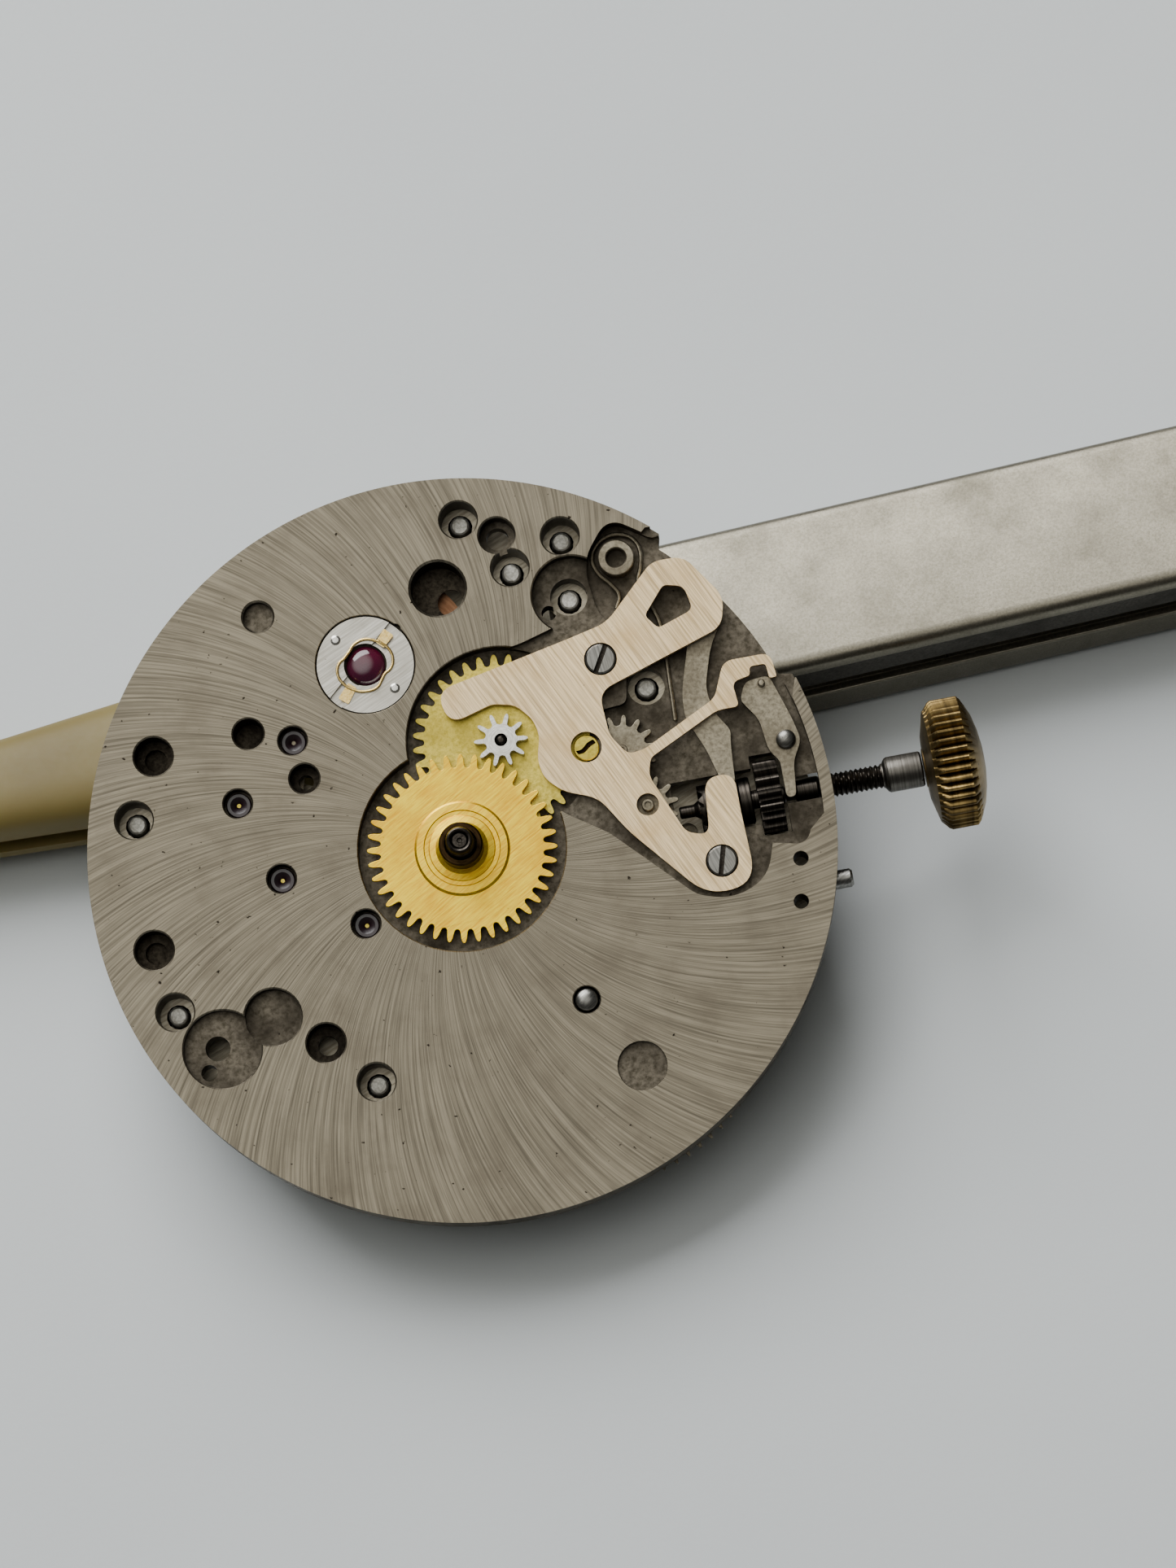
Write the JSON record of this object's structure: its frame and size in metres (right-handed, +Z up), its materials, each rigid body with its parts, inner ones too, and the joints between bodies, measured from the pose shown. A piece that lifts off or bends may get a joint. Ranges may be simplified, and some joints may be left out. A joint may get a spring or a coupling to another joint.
{
  "type": "watch movement holder",
  "caption": "Spring tongs with soft cream tips carrying a mechanical watch movement, dial side up, with its winding stem and crown.",
  "frame": {"origin": "on the flat underside of the lower arm, midway across the tongs, level with the centre of the movement along the tongs", "axes": "+X along the tongs towards their riveted rear end, +Y across the tongs away from the movement's low edge, +Z up from the bench"},
  "size_m": [0.144, 0.0294, 0.0119],
  "materials": {
    "satin_steel": "satin, ground and polished along its length",
    "oiled_steel": "hardened steel, dark with oil",
    "brushed_steel": "straight fine brushing",
    "nickel_plate": "nickel-plated brass with a curved sunray grain, slightly worn",
    "brass": "bare brass, lightly tarnished",
    "copper_alloy": "bare beryllium-copper alloy",
    "gilt": "gilt spring steel",
    "ruby": "polished synthetic ruby",
    "cream_plastic": "cream, smooth satin"
  },
  "bodies": {
    "holder": {"holder_arm_lower": "satin_steel", "holder_tip_lower": "cream_plastic", "holder_tip_pin_lower": "satin_steel", "holder_rear_block": "satin_steel", "holder_rivet_front": "satin_steel", "holder_rivet_rear": "satin_steel"},
    "upper_arm": {"holder_arm_upper": "satin_steel", "holder_tip_upper": "cream_plastic", "holder_tip_pin_upper": "satin_steel"},
    "centre": {"centre_wheel": "brass", "cannon_pinion": "oiled_steel"},
    "hour": {"hour_wheel": "brass"},
    "minute": {"minute_wheel": "brass", "minute_pinion": "satin_steel"},
    "setting": {"setting_wheel": "satin_steel"},
    "intermediate": {"intermediate_wheel": "satin_steel"},
    "barrel_drum": {"barrel": "brass"},
    "third": {"third_wheel": "brass"},
    "fourth": {"fourth_wheel": "brass"},
    "escape": {"escape_wheel": "brass"},
    "pallets": {"pallet_fork": "satin_steel"},
    "balance": {"balance_wheel": "copper_alloy", "hairspring": "satin_steel"},
    "winding": {"winding_pinion": "oiled_steel"},
    "stem": {"winding_stem": "oiled_steel", "crown": "brass"},
    "sliding_clutch": {"clutch": "oiled_steel"},
    "yoke_lever": {"yoke": "satin_steel"},
    "detent_lever": {"setting_lever": "satin_steel"},
    "ratchet": {"ratchet_wheel": "satin_steel"},
    "winding_wheel": {"crown_wheel": "satin_steel"},
    "click_lever": {"click": "satin_steel"},
    "movement": {"main_plate": "nickel_plate", "movement_side_screw": "satin_steel", "barrel_bridge": "nickel_plate", "train_bridge": "nickel_plate", "balance_cock": "nickel_plate", "pallet_bridge": "nickel_plate", "bridge_screw_1": "satin_steel", "bridge_screw_2": "satin_steel", "bridge_screw_3": "satin_steel", "bridge_screw_4": "satin_steel", "bridge_screw_5": "satin_steel", "bridge_screw_6": "satin_steel", "bridge_screw_7": "satin_steel", "bridge_screw_8": "satin_steel", "jewel_third": "ruby", "jewel_fourth": "ruby", "jewel_escape": "ruby", "jewel_pallet": "ruby", "shock_setting": "satin_steel", "shock_cap_jewel": "ruby", "shock_spring": "gilt", "minute_wheel_post": "oiled_steel", "keyless_bridge": "brushed_steel", "keyless_screw_upper": "satin_steel", "keyless_screw_lower": "satin_steel", "yoke_spring_stud": "satin_steel", "yoke_spring": "satin_steel", "setting_lever_screw": "satin_steel"}
  },
  "joints": [
    {"name": "arm_squeeze", "type": "hinge", "parent": "holder", "child": "upper_arm", "pos_m": [0.1, 0, 0.0045], "axis": [0, -1, 0], "range_deg": [0, 0.45], "stiffness_Nm_per_rad": 10},
    {"name": "movement_lift", "type": "slide", "parent": "holder", "child": "movement", "axis": [0, 0, 1], "range_m": [0, 0.02]},
    {"name": "hands_turn", "type": "hinge", "parent": "movement", "child": "centre", "pos_m": [0, -0.00907, 0.00798], "axis": [0, -0.2588, 0.9659], "continuous": true},
    {"name": "hour_turn", "type": "hinge", "parent": "movement", "child": "hour", "pos_m": [0, -0.00907, 0.00798], "axis": [0, -0.2588, 0.9659], "continuous": true},
    {"name": "minute_turn", "type": "hinge", "parent": "movement", "child": "minute", "pos_m": [0.00248, -0.00531, 0.00898], "axis": [0, -0.2588, 0.9659], "continuous": true},
    {"name": "setting_turn", "type": "hinge", "parent": "movement", "child": "setting", "pos_m": [0.00708, -0.00669, 0.00861], "axis": [0, -0.2588, 0.9659], "continuous": true},
    {"name": "intermediate_turn", "type": "hinge", "parent": "movement", "child": "intermediate", "pos_m": [0.00761, -0.00904, 0.00798], "axis": [0, -0.2588, 0.9659], "continuous": true},
    {"name": "barrel_turn", "type": "hinge", "parent": "movement", "child": "barrel_drum", "pos_m": [0.00348, -0.01589, 0.00615], "axis": [0, -0.2588, 0.9659], "continuous": true},
    {"name": "third_turn", "type": "hinge", "parent": "movement", "child": "third", "pos_m": [-0.0044, -0.0111, 0.00743], "axis": [0, -0.2588, 0.9659], "continuous": true},
    {"name": "fourth_turn", "type": "hinge", "parent": "movement", "child": "fourth", "pos_m": [-0.00729, -0.00865, 0.00809], "axis": [0, -0.2588, 0.9659], "continuous": true},
    {"name": "escape_turn", "type": "hinge", "parent": "movement", "child": "escape", "pos_m": [-0.00834, -0.00542, 0.00895], "axis": [0, -0.2588, 0.9659], "continuous": true},
    {"name": "pallet_rock", "type": "hinge", "parent": "movement", "child": "pallets", "pos_m": [-0.00564, -0.0035, 0.00947], "axis": [0, -0.2588, 0.9659], "range_deg": [-4, 4]},
    {"name": "balance_swing", "type": "hinge", "parent": "movement", "child": "balance", "pos_m": [-0.00213, -0.00124, 0.01007], "axis": [0, -0.2588, 0.9659], "range_deg": [-270, 270], "stiffness_Nm_per_rad": 0.000001},
    {"name": "crown_turn", "type": "hinge", "parent": "movement", "child": "winding", "pos_m": [0.01498, -0.00927, 0.00611], "axis": [0.999, -0.0438, -0.0117], "continuous": true},
    {"name": "crown_pull", "type": "slide", "parent": "winding", "child": "stem", "axis": [0.999, -0.0438, -0.0117], "range_m": [0, 0.0008]},
    {"name": "clutch_shift", "type": "slide", "parent": "winding", "child": "sliding_clutch", "axis": [0.999, -0.0438, -0.0117], "range_m": [-0.0006, 0]},
    {"name": "yoke_swing", "type": "hinge", "parent": "movement", "child": "yoke_lever", "pos_m": [0.01172, -0.00243, 0.00975], "axis": [0, -0.2588, 0.9659], "range_deg": [-5, 0]},
    {"name": "setting_lever_swing", "type": "hinge", "parent": "movement", "child": "detent_lever", "pos_m": [0.01358, -0.00773, 0.00833], "axis": [0, -0.2588, 0.9659], "range_deg": [0, 24]},
    {"name": "ratchet_turn", "type": "hinge", "parent": "movement", "child": "ratchet", "pos_m": [0.00348, -0.01589, 0.00615], "axis": [0, -0.2588, 0.9659], "continuous": true},
    {"name": "crown_wheel_turn", "type": "hinge", "parent": "movement", "child": "winding_wheel", "pos_m": [0.00896, -0.01004, 0.00771], "axis": [0, -0.2588, 0.9659], "continuous": true},
    {"name": "click_swing", "type": "hinge", "parent": "movement", "child": "click_lever", "pos_m": [-0.00306, -0.0188, 0.00537], "axis": [0, -0.2588, 0.9659], "range_deg": [0, 8], "stiffness_Nm_per_rad": 0.0001}
  ],
  "couplings": [
    {"joint": "minute_turn", "follows": "hands_turn", "ratio": -0.33333},
    {"joint": "hour_turn", "follows": "hands_turn", "ratio": 0.083333},
    {"joint": "setting_turn", "follows": "hands_turn", "ratio": 0.85714},
    {"joint": "intermediate_turn", "follows": "hands_turn", "ratio": -1},
    {"joint": "barrel_turn", "follows": "hands_turn", "ratio": -0.125},
    {"joint": "third_turn", "follows": "hands_turn", "ratio": -8},
    {"joint": "fourth_turn", "follows": "hands_turn", "ratio": 60},
    {"joint": "crown_wheel_turn", "follows": "crown_turn", "ratio": 0.53333},
    {"joint": "ratchet_turn", "follows": "crown_turn", "ratio": -0.35556},
    {"joint": "clutch_shift", "follows": "crown_pull", "ratio": -0.6},
    {"joint": "yoke_swing", "follows": "crown_pull", "rad_per_m": -91.603},
    {"joint": "setting_lever_swing", "follows": "crown_pull", "rad_per_m": 500}
  ]
}
